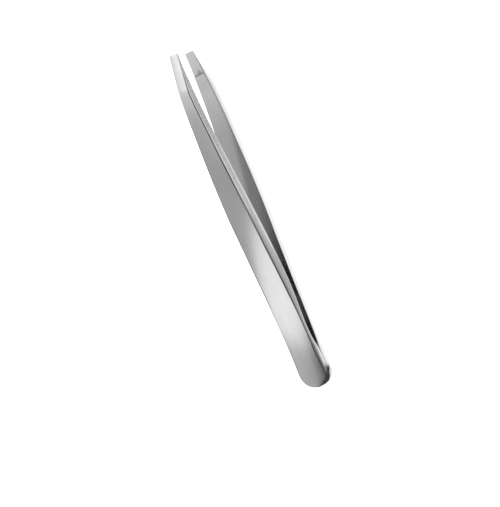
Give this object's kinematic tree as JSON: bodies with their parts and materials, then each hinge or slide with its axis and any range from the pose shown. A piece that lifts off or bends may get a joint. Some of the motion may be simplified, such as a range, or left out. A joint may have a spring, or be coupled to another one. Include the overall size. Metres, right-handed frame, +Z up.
{
  "type": "slant tweezers",
  "caption": "Slant-tip tweezers: mirrored spring-steel arms welded at a rounded heel, bowed outwards, with thinned flex necks, ground tip facets and flat gripping jaws.",
  "frame": {"origin": "bottom centre of the box, under the middle of the tweezers as they lie on the lower arm", "axes": "+X from the heel to the tips, +Y across the width, +Z up; the plane between the arms rises 3 degrees towards the tips, because the tweezers lie on the lower arm's belly and heel"},
  "size_m": [0.0952, 0.0098, 0.0111],
  "materials": {
    "satin_steel": "satin polished, fine grain along the arms",
    "weld_steel": "dull, as fused"
  },
  "bodies": {
    "heel": {"upper_heel": "satin_steel", "lower_heel": "satin_steel", "weld_spot_rear": "weld_steel", "weld_spot_front": "weld_steel"},
    "upper_arm": {"upper_arm": "satin_steel"},
    "lower_arm": {"lower_arm": "satin_steel"}
  },
  "joints": [
    {"name": "upper_flex", "type": "hinge", "parent": "heel", "child": "upper_arm", "pos_m": [-0.02967, 0, 0.00368], "axis": [0, 1, 0], "range_deg": [0, 2.11], "stiffness_Nm_per_rad": 3},
    {"name": "lower_flex", "type": "hinge", "parent": "heel", "child": "lower_arm", "pos_m": [-0.02954, 0, 0.00109], "axis": [0, -1, 0], "range_deg": [0, 2.11], "stiffness_Nm_per_rad": 3}
  ]
}
